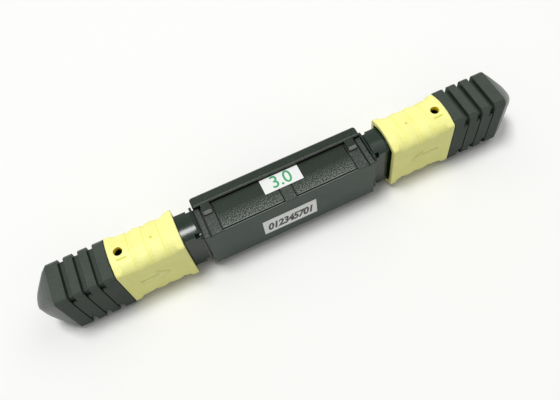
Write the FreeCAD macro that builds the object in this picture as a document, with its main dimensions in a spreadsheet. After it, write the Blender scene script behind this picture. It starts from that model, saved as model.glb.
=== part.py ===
import FreeCAD, Part
import math
import os
import re

import Sketcher
from FreeCAD import Placement, Rotation, Vector

# In-line fibre attenuator: a snapped two-piece housing with a multi-fibre plug at each end.
# Millimetres. X runs along both plugs, Y across the thin way, Z up from the surface it stands on.
# Each piece is drawn about the plugs' common axis, and its Placement lifts it to that axis.
# Pieces of a plug are drawn for the right end; the left plug is the same one turned half round.

sizes = {
    "axis_height": 6.2,
    # housing: distances along X from its middle, and levels above the axis
    "body_half": 15.15,
    "body_depth_half": 3.75,
    "cover_depth": 3.85,
    "body_round": 0.3,
    "split_depth": 1.9,
    "side_level": 4.95,
    "rail_level": 5.8,
    "rail_bevel": 0.2,
    "rail_end_round": 0.5,
    "channel_half": 4.2,
    "channel_depth": 2.6,
    "seam": 0.1,
    "pillar_half": 1.0,
    "panel_end": 12.1,
    "panel_front": 3.32,
    "panel_seam": 0.24,
    "tab_start": 12.3,
    "tab_end": 13.85,
    "tab_reach": 1.85,
    "tab_level": 5.65,
    "tab_bevel": 0.4,
    "slot_at": 14.0,
    "slot_width": 0.25,
    "slot_depth": 0.45,
    "flange_start": 12.9,
    "flange_end": 13.7,
    "flange_depth": 3.0,
    "flange_half": 4.5,
    "fit": 0.05,
    # rear body of a plug: tail in the housing, collar and neck outside it
    "tail_start": 12.3,
    "tail_depth": 2.5,
    "tail_half": 4.1,
    "collar_start": 15.4,
    "collar_end": 15.8,
    "collar_depth": 3.2,
    "collar_half": 4.8,
    "collar_round": 0.8,
    "neck_end": 21.2,
    "neck_depth": 2.6,
    "neck_flat": 4.6,
    "neck_crown": 0.6,
    "notch_length": 0.7,
    "notch_depth": 0.5,
    "notch_height": 0.75,
    "spring_seat": 17.2,
    "ribbon_bore_depth": 0.9,
    "ribbon_bore_half": 2.0,
    # plug frame: tail in the rear body, waist under the sleeve, nose in front
    "frame_tail_start": 19.75,
    "frame_tail_depth": 2.05,
    "frame_depth": 2.9,
    "waist_half": 3.7,
    "nose_start": 27.7,
    "nose_end": 35.8,
    "nose_half": 4.2,
    "nose_bevel": 0.4,
    "cavity_depth": 1.7,
    "cavity_half": 3.35,
    "window_start": 30.4,
    "window_depth": 1.35,
    "window_half": 3.3,
    "key_start": 30.5,
    "key_end": 34.6,
    "key_half": 1.5,
    "key_height": 0.4,
    "catch_start": 30.5,
    "catch_end": 32.3,
    "catch_half": 1.5,
    "catch_depth": 0.45,
    "guide_end": 24.0,
    "guide_inner": 0.85,
    "guide_outer": 1.3,
    "guide_half": 4.5,
    # ferrule and what rides with it
    "ferrule_start": 28.0,
    "ferrule_shoulder_end": 30.3,
    "ferrule_end": 36.2,
    "ferrule_depth": 1.25,
    "ferrule_half": 3.2,
    "shoulder_depth": 1.5,
    "shoulder_half": 3.28,
    "ferrule_bevel": 0.25,
    "pin_offset": 2.3,
    "pin_radius": 0.35,
    "pin_bore_radius": 0.355,
    "pin_end": 38.2,
    "pin_tip": 0.5,
    "pin_tip_radius": 0.12,
    "fibre_pitch": 0.25,
    "fibre_radius": 0.0625,
    "fibre_depth": 0.3,
    "glue_window_start": 31.6,
    "glue_window_end": 34.0,
    "glue_window_half": 1.6,
    "boot_start": 24.5,
    "boot_end": 30.8,
    "boot_depth": 0.75,
    "boot_half": 1.7,
    "clamp_start": 26.7,
    "clamp_depth": 1.5,
    "clamp_half": 3.2,
    "clamp_bore_radius": 0.43,
    "ribbon_half_length": 29.0,
    "ribbon_depth": 0.16,
    "ribbon_half": 1.55,
    # main spring and the two coupling springs
    "main_coil_depth": 1.3,
    "main_coil_half": 2.85,
    "main_wire_radius": 0.25,
    "main_turns": 4,
    "coupling_coil_radius": 0.57,
    "coupling_wire_radius": 0.13,
    "coupling_offset": 4.5,
    "coupling_turns": 4,
    # coupling sleeve
    "sleeve_start": 18.6,
    "sleeve_end": 30.1,
    "sleeve_depth": 3.85,
    "sleeve_flat": 5.2,
    "sleeve_crown": 1.0,
    "rim_length": 1.0,
    "rim_round": 0.7,
    "rim_flare": 0.4,
    "grip_relief": 0.12,
    "grip_drop": 0.05,
    "grip_round": 1.7,
    "scallop_first": 21.1,
    "scallop_pitch": 2.6,
    "scallop_reach": 0.4,
    "scallop_depth": 0.18,
    "scallop_round": 0.7,
    "sight_hole_at": 28.4,
    "sight_hole_radius": 0.72,
    "sleeve_bore_depth": 3.15,
    "sleeve_bore_flat": 4.55,
    "sleeve_bore_crown": 0.95,
    "ledge_start": 26.5,
    "ledge_end": 27.5,
    "ledge_half": 3.8,
    "mouth_half": 4.35,
    # dust cap
    "cap_start": 30.25,
    "cap_end": 40.0,
    "cap_depth": 3.85,
    "cap_half": 5.6,
    "cap_corner": 0.7,
    "cap_back_corner": 0.4,
    "dome_length": 4.15,
    "dome_corner": 1.5,
    "cap_bore_depth": 3.0,
    "cap_bore_half": 4.3,
    "cap_bore_end": 36.4,
    "cap_pocket_depth": 1.7,
    "cap_pocket_half": 3.5,
    "cap_pocket_end": 39.0,
    "groove_first": 32.1,
    "groove_pitch": 2.43,
    "groove_width": 1.0,
    "groove_depth": 0.9,
    "groove_end_depth": 0.55,
    "groove_end_reach": 3.4,
    "line_width": 0.22,
    "line_depth": 0.18,
    # labels
    "label_thickness": 0.08,
    "value_label_half": 3.45,
    "value_label_front": 0.95,
    "serial_label_left": 5.7,
    "serial_label_right": 4.1,
    "serial_label_low": 2.4,
    "serial_label_high": 1.85,
}

doc = FreeCAD.newDocument("FibreAttenuator")
sheet = doc.addObject("Spreadsheet::Sheet", "Sizes")
for row, (name, size) in enumerate(sizes.items(), start=1):
    sheet.set(f"A{row}", name)
    sheet.set(f"B{row}", str(size))
    sheet.setAlias(f"B{row}", name)
doc.recompute()

pieces = []


def cell(text):
    # an expression in which each size's name stands for its cell
    def reference(match):
        word = match.group()
        return f"Sizes.{word}" if word in sizes else word

    return re.sub(r"[a-z_]+", reference, text)


def number(text):
    return float(sheet.evalExpression(cell(text)))


def new_body(label):
    body = doc.addObject("PartDesign::Body", label)
    body.Label = label
    pieces.append(body)
    return body


def place(piece, side="right"):
    turn = 180 if side == "left" else 0
    piece.Placement = Placement(Vector(0, 0, number("axis_height")), Rotation(Vector(0, 0, 1), turn))
    piece.setExpression("Placement.Base.z", cell("axis_height"))


def new_sketch(body, name, role, offset=None):
    sketch = body.newObject("Sketcher::SketchObject", f"{body.Name}_{name}")
    plane = next(item for item in body.Origin.OriginFeatures if item.Role == role)
    sketch.AttachmentSupport = (plane, [""])
    sketch.MapMode = "FlatFace"
    if offset:
        sketch.setExpression("AttachmentOffset.Base.z", cell(offset))
    return sketch


def bind(sketch, constraint, name, text):
    index = sketch.addConstraint(constraint)
    sketch.renameConstraint(index, name)
    sketch.setExpression(f"Constraints.{name}", cell(text))


def chain(sketch, first, count):
    joins = []
    for step in range(count):
        following = first + (step + 1) % count
        joins.append(Sketcher.Constraint("Coincident", first + step, 2, following, 1))
    sketch.addConstraint(joins)


def rectangle(sketch, left, right, low, high):
    first = sketch.GeometryCount
    x0, x1, y0, y1 = (number(side) for side in (left, right, low, high))
    corners = [Vector(x0, y0, 0), Vector(x1, y0, 0), Vector(x1, y1, 0), Vector(x0, y1, 0)]
    for step in range(4):
        sketch.addGeometry(Part.LineSegment(corners[step], corners[(step + 1) % 4]), False)
    chain(sketch, first, 4)
    for step in (0, 2):
        sketch.addConstraint(Sketcher.Constraint("Horizontal", first + step))
        sketch.addConstraint(Sketcher.Constraint("Vertical", first + step + 1))
    bind(sketch, Sketcher.Constraint("DistanceX", -1, 1, first, 1, x0), f"left{first}", left)
    bind(sketch, Sketcher.Constraint("DistanceY", -1, 1, first, 1, y0), f"low{first}", low)
    bind(sketch, Sketcher.Constraint("DistanceX", -1, 1, first + 1, 2, x1), f"right{first}", right)
    bind(sketch, Sketcher.Constraint("DistanceY", -1, 1, first + 1, 2, y1), f"high{first}", high)


def polygon(sketch, corners):
    # straight sides through corners that are given as pairs of expressions
    first = sketch.GeometryCount
    points = [Vector(number(x), number(y), 0) for x, y in corners]
    following = points[1:] + points[:1]
    sketch.addGeometry([Part.LineSegment(start, end) for start, end in zip(points, following)], False)
    chain(sketch, first, len(points))
    places = []
    for step, point in enumerate(points, start=first):
        for kind, name, distance in (("DistanceX", "x", point.x), ("DistanceY", "y", point.y)):
            constraint = Sketcher.Constraint(kind, -1, 1, step, 1, distance)
            constraint.Name = f"{name}{step}"
            places.append(constraint)
    sketch.addConstraint(places)
    for step, (x, y) in enumerate(corners, start=first):
        sketch.setExpression(f"Constraints.x{step}", cell(x))
        sketch.setExpression(f"Constraints.y{step}", cell(y))


def circle(sketch, x, y, radius):
    index = sketch.GeometryCount
    centre = Vector(number(x), number(y), 0)
    sketch.addGeometry(Part.Circle(centre, Vector(0, 0, 1), number(radius)), False)
    bind(sketch, Sketcher.Constraint("Radius", index, number(radius)), f"radius{index}", radius)
    bind(sketch, Sketcher.Constraint("DistanceX", -1, 1, index, 3, centre.x), f"x{index}", x)
    bind(sketch, Sketcher.Constraint("DistanceY", -1, 1, index, 3, centre.y), f"y{index}", y)


def crowned(sketch, depth, flat, crown):
    # two flat wide sides, joined by narrow sides that bulge by the crown
    a, b, c = number(depth), number(flat), number(crown)
    sketch.addGeometry(Part.LineSegment(Vector(a, -b, 0), Vector(a, b, 0)), False)
    sketch.addGeometry(Part.Arc(Vector(a, b, 0), Vector(0, b + c, 0), Vector(-a, b, 0)), False)
    sketch.addGeometry(Part.LineSegment(Vector(-a, b, 0), Vector(-a, -b, 0)), False)
    sketch.addGeometry(Part.Arc(Vector(-a, -b, 0), Vector(0, -b - c, 0), Vector(a, -b, 0)), False)
    chain(sketch, 0, 4)
    sketch.addConstraint(Sketcher.Constraint("Symmetric", 0, 1, 0, 2, -1))
    sketch.addConstraint(Sketcher.Constraint("Symmetric", 2, 1, 2, 2, -1))
    sketch.addConstraint(Sketcher.Constraint("Symmetric", 0, 2, 2, 1, -2))
    bind(sketch, Sketcher.Constraint("DistanceX", -1, 1, 0, 2, a), "depth", depth)
    bind(sketch, Sketcher.Constraint("DistanceY", -1, 1, 0, 2, b), "flat", flat)
    radius = f"(({depth})^2 + ({crown})^2) / (2 * ({crown}))"
    for arc in (1, 3):
        bind(sketch, Sketcher.Constraint("Radius", arc, number(radius)), f"crown{arc}", radius)


def softened(sketch, depth, flat, crown, corner):
    # a crowned outline with round corners, in short straight sides
    a, b, c, r = number(depth), number(flat), number(crown), number(corner)
    radius = (a * a + c * c) / (2 * c)
    centre = b + c - radius
    lean = math.asin((a - r) / (radius - r))
    corner_height = centre + (radius - r) * math.cos(lean)
    quarter = []
    for step in range(5):
        turn = math.pi / 2 + (lean - math.pi / 2) * step / 4
        quarter.append((a - r + r * math.sin(turn), corner_height + r * math.cos(turn)))
    for step in (2, 1, 0):
        turn = lean * step / 3
        quarter.append((radius * math.sin(turn), centre + radius * math.cos(turn)))
    upper = [(f"{x / a:.4f} * ({depth})", f"({flat}) + {(y - b) / c:.4f} * ({crown})") for x, y in quarter]
    upper += [(f"-{across}", up) for across, up in reversed(upper[:-1])]
    polygon(sketch, upper + [(across, f"-({up})") for across, up in reversed(upper)])


def rounded(sketch, depth, half, corner):
    # a rectangle about the axis with four equal round corners
    a, b, r = number(depth), number(half), number(corner)
    turns = ((a - r, b - r, 0), (r - a, b - r, 90), (r - a, r - b, 180), (a - r, r - b, 270))
    for x, y, start in turns:
        round_corner = Part.Circle(Vector(x, y, 0), Vector(0, 0, 1), r)
        begin = math.radians(start)
        sketch.addGeometry(Part.ArcOfCircle(round_corner, begin, begin + math.pi / 2), False)
    ends = [
        ((a - r, b), (r - a, b)), ((-a, b - r), (-a, r - b)),
        ((r - a, -b), (a - r, -b)), ((a, r - b), (a, b - r))]
    for (x0, y0), (x1, y1) in ends:
        sketch.addGeometry(Part.LineSegment(Vector(x0, y0, 0), Vector(x1, y1, 0)), False)
    for step in range(4):
        sketch.addConstraint(Sketcher.Constraint("Tangent", step, 2, 4 + step, 1))
        sketch.addConstraint(Sketcher.Constraint("Tangent", 4 + step, 2, (step + 1) % 4, 1))
    for step in (1, 2, 3):
        sketch.addConstraint(Sketcher.Constraint("Equal", 0, step))
    for step in (4, 6):
        sketch.addConstraint(Sketcher.Constraint("Horizontal", step))
        sketch.addConstraint(Sketcher.Constraint("Vertical", step + 1))
    bind(sketch, Sketcher.Constraint("Radius", 0, r), "corner", corner)
    bind(sketch, Sketcher.Constraint("DistanceX", -1, 1, 7, 1, a), "right", depth)
    bind(sketch, Sketcher.Constraint("DistanceX", -1, 1, 5, 1, -a), "left", f"-({depth})")
    bind(sketch, Sketcher.Constraint("DistanceY", -1, 1, 4, 1, b), "high", half)
    bind(sketch, Sketcher.Constraint("DistanceY", -1, 1, 6, 1, -b), "low", f"-({half})")


def chamfered(sketch, depth, half, corner, back_corner=None, cut=((0, -1), (-1, 0))):
    # a rectangle about the axis with its four corners cut off, by their own amount at the back if given;
    # cut lists the points of one corner in shares of its size, from the wide side to the narrow one
    back = back_corner or corner
    upper = [(f"({depth}) + {a:.4f} * ({back})", f"({half}) + {b:.4f} * ({back})") for a, b in cut]
    for a, b in reversed(cut):
        upper.append((f"-({depth}) - {a:.4f} * ({corner})", f"({half}) + {b:.4f} * ({corner})"))
    polygon(sketch, upper + [(across, f"-({up})") for across, up in reversed(upper)])


def centred(sketch, depth, half):
    rectangle(sketch, f"-({depth})", depth, f"-({half})", half)


def grow(body, sketch, length, both_ways=False):
    feature = body.newObject("PartDesign::Pad", f"{sketch.Name}_pad")
    feature.Profile = sketch
    feature.setExpression("Length", cell(length))
    feature.Midplane = both_ways
    doc.recompute()
    return feature


def carve(body, sketch, length, both_ways=False, forward=True):
    # forward runs along the sketch's normal; a cut that takes nothing away is an error
    before = body.Tip.Shape.Volume
    feature = body.newObject("PartDesign::Pocket", f"{sketch.Name}_cut")
    feature.Profile = sketch
    feature.setExpression("Length", cell(length))
    feature.Midplane = both_ways
    feature.Reversed = forward and not both_ways
    doc.recompute()
    if not feature.Shape.Volume < before - 1e-4:
        raise ValueError(f"{feature.Name} cuts nothing")
    return feature


def stretch(body, name, outline, values, start, end):
    # material from start to end along X, with one outline across it
    sketch = new_sketch(body, name, "YZ_Plane", start)
    outline(sketch, *values)
    return grow(body, sketch, f"({end}) - ({start})")


def hollow(body, name, outline, values, start, end):
    sketch = new_sketch(body, name, "YZ_Plane", start)
    outline(sketch, *values)
    return carve(body, sketch, f"({end}) - ({start})")


def join_rings(body, rings):
    # material with straight walls from each outline to the next
    doc.recompute()
    loft = body.newObject("PartDesign::AdditiveLoft", f"{body.Name}_loft")
    loft.Profile = rings[0]
    loft.Sections = rings[1:]
    loft.Ruled = True
    loft.Closed = False
    doc.recompute()


def edges_like(shape, test):
    found = [f"Edge{index}" for index, edge in enumerate(shape.Edges, start=1) if test(edge)]
    if not found:
        raise ValueError("no edge of that kind")
    return found


def runs_along_x(edge):
    ends = edge.Vertexes
    return len(ends) == 2 and (ends[1].Point - ends[0].Point).cross(Vector(1, 0, 0)).Length < 1e-6


def dress(body, kind, size_name, size, test):
    # a Fillet or Chamfer on the edges of the piece so far that pass the test
    base = body.Tip
    feature = body.newObject(f"PartDesign::{kind}", f"{body.Name}_{kind}_{len(body.Group)}")
    feature.Base = (base, edges_like(base.Shape, test))
    feature.setExpression(size_name, cell(size))
    doc.recompute()
    return feature


def repeat_along_x(body, feature, sketch, pitch, count):
    pattern = body.newObject("PartDesign::LinearPattern", f"{feature.Name}_row")
    pattern.Originals = [feature]
    pattern.Direction = (sketch, ["H_Axis"])
    pattern.setExpression("Length", cell(f"({pitch}) * {count - 1}"))
    pattern.Occurrences = count
    body.Tip = pattern
    doc.recompute()
    return pattern


def corner_edge(depth, half):
    # an edge along X at the given distance from the axis in Y and Z
    def test(edge):
        middle = edge.CenterOfMass
        near = abs(abs(middle.y) - depth) < 1e-3 and abs(abs(middle.z) - half) < 1e-3
        return near and runs_along_x(edge)

    return test


def housing_base():
    body = new_body("housing_base")
    channel = new_sketch(body, "channel", "YZ_Plane", "-body_half")
    polygon(channel, [
        ("-body_depth_half", "-side_level"), ("split_depth", "-side_level"),
        ("split_depth", "-channel_half"), ("-channel_depth", "-channel_half"),
        ("-channel_depth", "channel_half"), ("split_depth", "channel_half"),
        ("split_depth", "side_level"), ("-body_depth_half", "side_level")])
    grow(body, channel, "2 * body_half")
    front_corner = corner_edge(sizes["body_depth_half"], sizes["side_level"])
    dress(body, "Fillet", "Radius", "body_round", front_corner)
    # bays that take the cover's panels, between the end strips and the centre pillar
    bays = new_sketch(body, "bays", "XZ_Plane", "panel_front + panel_seam")
    for side in ("-1", "1"):
        near, far = sorted((f"{side} * pillar_half", f"{side} * panel_end"), key=number)
        rectangle(bays, near, far, "channel_half - fit", "side_level + seam")
        rectangle(bays, near, far, "-side_level - seam", "fit - channel_half")
    carve(body, bays, "panel_front + split_depth + 2 * panel_seam", forward=False)
    # slots across the channel for the flanges of the two plugs
    slots = new_sketch(body, "slots", "XY_Plane")
    for side in ("-1", "1"):
        low, high = sorted((f"{side} * (flange_start - fit)", f"{side} * (flange_end + fit)"), key=number)
        rectangle(slots, low, high, "-flange_depth - fit", "split_depth + seam")
    carve(body, slots, "2 * (flange_half + fit)", both_ways=True)
    # narrow lines that part the end lips from the strips
    lines = new_sketch(body, "lines", "XZ_Plane")
    for side in ("-1", "1"):
        low, high = sorted((f"{side} * slot_at", f"{side} * (slot_at + slot_width)"), key=number)
        rectangle(lines, low, high, "side_level - slot_depth", "side_level + seam")
        rectangle(lines, low, high, "-side_level - seam", "slot_depth - side_level")
    carve(body, lines, "3 * body_depth_half", both_ways=True)
    place(body)


def housing_cover():
    body = new_body("housing_cover")
    plate = new_sketch(body, "plate", "YZ_Plane", "-body_half")
    polygon(plate, [
        ("split_depth + fit", "-rail_level"), ("cover_depth", "-rail_level"),
        ("cover_depth", "rail_level"), ("split_depth + fit", "rail_level"),
        ("split_depth + fit", "channel_half"), ("channel_depth", "channel_half"),
        ("channel_depth", "-channel_half"), ("split_depth + fit", "-channel_half")])
    grow(body, plate, "2 * body_half")
    end, back = sizes["body_half"], sizes["cover_depth"]

    def back_end_edge(edge):
        at_back_end = all(abs(abs(tip.X) - end) < 1e-3 and abs(tip.Y - back) < 1e-3 for tip in edge.Vertexes)
        return at_back_end and not runs_along_x(edge)

    dress(body, "Fillet", "Radius", "rail_end_round", back_end_edge)
    for depth in (sizes["cover_depth"], sizes["split_depth"] + sizes["fit"]):
        dress(body, "Chamfer", "Size", "rail_bevel", corner_edge(depth, sizes["rail_level"]))
    # side panels that fill the base's bays on both narrow sides
    panels = new_sketch(body, "panels", "XZ_Plane", "-split_depth - 2 * fit")
    for side in ("-1", "1"):
        near, far = sorted((f"{side} * (pillar_half + seam)", f"{side} * (panel_end - seam)"), key=number)
        rectangle(panels, near, far, "channel_half", "side_level")
        rectangle(panels, near, far, "-side_level", "-channel_half")
    grow(body, panels, "panel_front + split_depth + 2 * fit")
    # snap tabs that reach over the end strips
    tabs = new_sketch(body, "tabs", "XZ_Plane", "-split_depth - rail_bevel")
    for side in ("-1", "1"):
        near, far = sorted((f"{side} * tab_start", f"{side} * tab_end"), key=number)
        rectangle(tabs, near, far, "side_level + fit", "tab_level")
        rectangle(tabs, near, far, "-tab_level", "-side_level - fit")
    grow(body, tabs, "tab_reach + rail_bevel")
    tab_front = sizes["split_depth"] - sizes["tab_reach"]

    def tab_end_edge(edge):
        middle = edge.CenterOfMass
        return abs(middle.y - tab_front) < 1e-3 and abs(abs(middle.z) - sizes["tab_level"]) < 1e-3

    dress(body, "Chamfer", "Size", "tab_bevel", tab_end_edge)
    slots = new_sketch(body, "slots", "XY_Plane")
    for side in ("-1", "1"):
        low, high = sorted((f"{side} * (flange_start - fit)", f"{side} * (flange_end + fit)"), key=number)
        rectangle(slots, low, high, "split_depth", "flange_depth + fit")
    carve(body, slots, "2 * (flange_half + fit)", both_ways=True)
    place(body)


def rear_body(side):
    body = new_body(f"{side}_rear_body")
    stretch(body, "tail", centred, ("tail_depth", "tail_half"), "tail_start", "collar_start")
    stretch(body, "flange", centred, ("flange_depth", "flange_half"), "flange_start", "flange_end")
    collar = ("collar_depth", "collar_half", "collar_round")
    stretch(body, "collar", rounded, collar, "collar_start", "collar_end")
    stretch(body, "neck", crowned, ("neck_depth", "neck_flat", "neck_crown"), "collar_end", "neck_end")
    notches = new_sketch(body, "notches", "YZ_Plane", "collar_end")
    for across in ("-1", "1"):
        for up in ("-1", "1"):
            deep = (f"{across} * (neck_depth - notch_depth)", f"{across} * (neck_depth + seam)")
            tall = (f"{up} * (neck_flat - notch_height)", f"{up} * (neck_flat + neck_crown)")
            rectangle(notches, *sorted(deep, key=number), *sorted(tall, key=number))
    carve(body, notches, "notch_length")
    socket = ("frame_tail_depth + fit", "waist_half + fit")
    hollow(body, "socket", centred, socket, "frame_tail_start - fit", "neck_end")
    hollow(body, "pocket", centred, ("cavity_depth", "cavity_half"), "spring_seat", "frame_tail_start")
    hollow(body, "bore", centred, ("ribbon_bore_depth", "ribbon_bore_half"), "tail_start", "spring_seat")
    place(body, side)


def plug_frame(side):
    body = new_body(f"{side}_plug_frame")
    stretch(body, "tail", centred, ("frame_tail_depth", "waist_half"), "frame_tail_start", "neck_end + fit")
    stretch(body, "waist", centred, ("frame_depth", "waist_half"), "neck_end + fit", "nose_start")
    stretch(body, "nose", centred, ("frame_depth", "nose_half"), "nose_start", "nose_end")
    nose_corner = corner_edge(sizes["frame_depth"], sizes["nose_half"])
    nose_end = sizes["nose_end"]
    dress(body, "Chamfer", "Size", "nose_bevel", lambda edge: nose_corner(edge) or all(
        abs(end.X - nose_end) < 1e-3 for end in edge.Vertexes))
    # polarity key on one wide side
    key = new_sketch(body, "key", "XZ_Plane", "-frame_depth - key_height")
    rectangle(key, "key_start", "key_end", "-key_half", "key_half")
    grow(body, key, "2 * key_height")
    # catches on the narrow sides, where an adaptor's latches hook in
    catches = new_sketch(body, "catches", "XZ_Plane")
    for up in ("-1", "1"):
        low, high = sorted((f"{up} * (nose_half - catch_depth)", f"{up} * (nose_half + seam)"), key=number)
        rectangle(catches, "catch_start", "catch_end", low, high)
    carve(body, catches, "2 * catch_half", both_ways=True)
    # ribs that keep the coupling springs in line
    ribs = new_sketch(body, "ribs", "YZ_Plane", "neck_end + fit")
    for across in ("-1", "1"):
        for up in ("-1", "1"):
            near, far = sorted((f"{across} * guide_inner", f"{across} * guide_outer"), key=number)
            low, high = sorted((f"{up} * (waist_half - seam)", f"{up} * guide_half"), key=number)
            rectangle(ribs, near, far, low, high)
    grow(body, ribs, "guide_end - neck_end - fit")
    hollow(body, "cavity", centred, ("cavity_depth", "cavity_half"), "frame_tail_start", "window_start")
    hollow(body, "window", centred, ("window_depth", "window_half"), "window_start", "nose_end")
    place(body, side)


def ferrule(side):
    body = new_body(f"{side}_ferrule")
    shoulder = ("shoulder_depth", "shoulder_half")
    stretch(body, "shoulder", centred, shoulder, "ferrule_start", "ferrule_shoulder_end")
    stretch(body, "front", centred, ("ferrule_depth", "ferrule_half"), "ferrule_shoulder_end", "ferrule_end")
    ferrule_end = sizes["ferrule_end"]
    dress(body, "Chamfer", "Size", "ferrule_bevel", lambda edge: all(
        abs(end.X - ferrule_end) < 1e-3 for end in edge.Vertexes))
    seat = ("boot_depth + fit", "boot_half + fit")
    hollow(body, "boot_seat", centred, seat, "ferrule_start", "boot_end + fit")
    bores = new_sketch(body, "bores", "YZ_Plane", "ferrule_start")
    for up in ("-1", "1"):
        circle(bores, "0", f"{up} * pin_offset", "pin_bore_radius")
    carve(body, bores, "ferrule_end - ferrule_start")
    # opening on one wide side through which the fibres are set
    window = new_sketch(body, "glue_window", "XZ_Plane")
    rectangle(window, "glue_window_start", "glue_window_end", "-glue_window_half", "glue_window_half")
    carve(body, window, "2 * ferrule_depth", forward=False)
    # the row of fibre ends in the polished face
    fibres = new_sketch(body, "fibres", "YZ_Plane", "ferrule_end - fibre_depth")
    for place_in_row in range(12):
        middle = f"({place_in_row} - 5.5) * fibre_pitch"
        polygon(fibres, [("-fibre_radius", middle), ("0", f"{middle} - fibre_radius"),
                         ("fibre_radius", middle), ("0", f"{middle} + fibre_radius")])
    carve(body, fibres, "fibre_depth")
    place(body, side)


def ferrule_boot(side):
    body = new_body(f"{side}_ferrule_boot")
    outline = ("boot_depth", "boot_half", "boot_depth / 3")
    stretch(body, "sleeve", chamfered, outline, "boot_start", "boot_end")
    hollow(body, "slit", centred, ("ribbon_depth + fit", "ribbon_half + fit"), "boot_start", "boot_end")
    place(body, side)


def pin_clamp(side):
    body = new_body(f"{side}_pin_clamp")
    outline = ("clamp_depth", "clamp_half", "clamp_depth / 3")
    stretch(body, "plate", chamfered, outline, "clamp_start", "ferrule_start")
    hollow(body, "opening", centred, ("boot_depth + fit", "boot_half + fit"), "clamp_start", "ferrule_start")
    bores = new_sketch(body, "bores", "YZ_Plane", "clamp_start")
    turns = [math.pi / 8 + step * math.pi / 4 for step in range(8)]
    for up in ("-1", "1"):
        polygon(bores, [
            (f"{math.cos(turn):.4f} * clamp_bore_radius",
             f"{up} * pin_offset + {math.sin(turn):.4f} * clamp_bore_radius") for turn in turns])
    carve(body, bores, "ferrule_start - clamp_start")
    place(body, side)


def guide_pin(level, up):
    label = f"right_{level}_guide_pin"
    shank = doc.addObject("Part::Cylinder", f"{label}_shank")
    shank.setExpression("Radius", cell("pin_radius"))
    shank.setExpression("Height", cell("pin_end - pin_tip - clamp_start"))
    tip = doc.addObject("Part::Cone", f"{label}_tip")
    tip.setExpression("Radius1", cell("pin_radius"))
    tip.setExpression("Radius2", cell("pin_tip_radius"))
    tip.setExpression("Height", cell("pin_tip"))
    tip.setExpression("Placement.Base.z", cell("pin_end - pin_tip - clamp_start"))
    pin = doc.addObject("Part::Fuse", label)
    pin.Base = shank
    pin.Tool = tip
    pin.Refine = True
    pin.Placement = Placement(Vector(0, 0, 0), Rotation(Vector(0, 1, 0), 90))
    pin.setExpression("Placement.Base.x", cell("clamp_start"))
    pin.setExpression("Placement.Base.z", cell(f"axis_height + {up} * pin_offset"))
    pieces.append(pin)


def coil(label, side, start, end, depth, half, wire, turns, sides, up=0.0):
    # wire of a helix whose turns may be oval, bent in short straight runs
    steps = 2 * sides
    count = int(number(turns)) * steps
    first = number(start) + number(wire)
    length = number(end) - number(start) - 2 * number(wire)
    points = []
    for step in range(count + 1):
        angle = 2 * math.pi * step / steps
        across = number(depth) * math.cos(angle)
        height = up + number(half) * math.sin(angle)
        points.append(Vector(first + length * step / count, across, height))
    along = (points[1] - points[0]).normalize()
    outward = Vector(0, 1, 0)
    outward = (outward - along * outward.dot(along)).normalize()
    beside = along.cross(outward)
    ring = []
    for corner in range(sides + 1):
        angle = 2 * math.pi * (corner + 0.5) / sides
        ring.append(points[0] + (outward * math.cos(angle) + beside * math.sin(angle)) * number(wire))
    spring = doc.addObject("Part::Feature", label)
    spring.Shape = Part.makePolygon(points).makePipeShell([Part.makePolygon(ring)], True, False, 1)
    place(spring, side)
    pieces.append(spring)


def coupling_sleeve(side):
    body = new_body(f"{side}_coupling_sleeve")
    grip_start = "sleeve_start + rim_length"
    grip_end = "sleeve_end - rim_length"
    rim = ("sleeve_depth", "sleeve_flat", "sleeve_crown", "rim_round")

    def waist(share):
        # the grip's outline, drawn in by a share of the scallops' depth
        return (
            "sleeve_depth - grip_relief", f"sleeve_flat - {share} * scallop_depth",
            "sleeve_crown - grip_drop", f"grip_round + {share} * scallop_round")

    # a rim at each end, and between them a waist whose narrow sides swell between three fine valleys
    outlines = [("sleeve_start", rim), (grip_start, rim), (f"{grip_start} + rim_flare", waist(0))]
    for place_in_row in range(3):
        valley = f"scallop_first + {place_in_row} * scallop_pitch"
        if place_in_row:
            outlines.append((f"{valley} - scallop_pitch / 2", waist(0)))
        outlines += [
            (f"{valley} - scallop_reach", waist(0.45)), (valley, waist(1)),
            (f"{valley} + scallop_reach", waist(0.45))]
    outlines += [(f"{grip_end} - rim_flare", waist(0)), (grip_end, rim), ("sleeve_end", rim)]
    rings = []
    for along, outline in outlines:
        rings.append(new_sketch(body, f"ring{len(rings)}", "YZ_Plane", along))
        softened(rings[-1], *outline)
    join_rings(body, rings)
    # bore for the neck, ledge that the coupling springs push on, and mouth round the nose
    bore = ("sleeve_bore_depth", "sleeve_bore_flat", "sleeve_bore_crown")
    hollow(body, "bore", crowned, bore, "sleeve_start", "ledge_start")
    hollow(body, "ledge", centred, ("sleeve_bore_depth", "ledge_half"), "ledge_start", "ledge_end")
    hollow(body, "mouth", centred, ("sleeve_bore_depth", "mouth_half"), "ledge_end", "sleeve_end")
    hole = new_sketch(body, "sight_hole", "XY_Plane")
    circle(hole, "sight_hole_at", "0", "sight_hole_radius")
    carve(body, hole, "2 * sleeve_flat")
    place(body, side)


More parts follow.
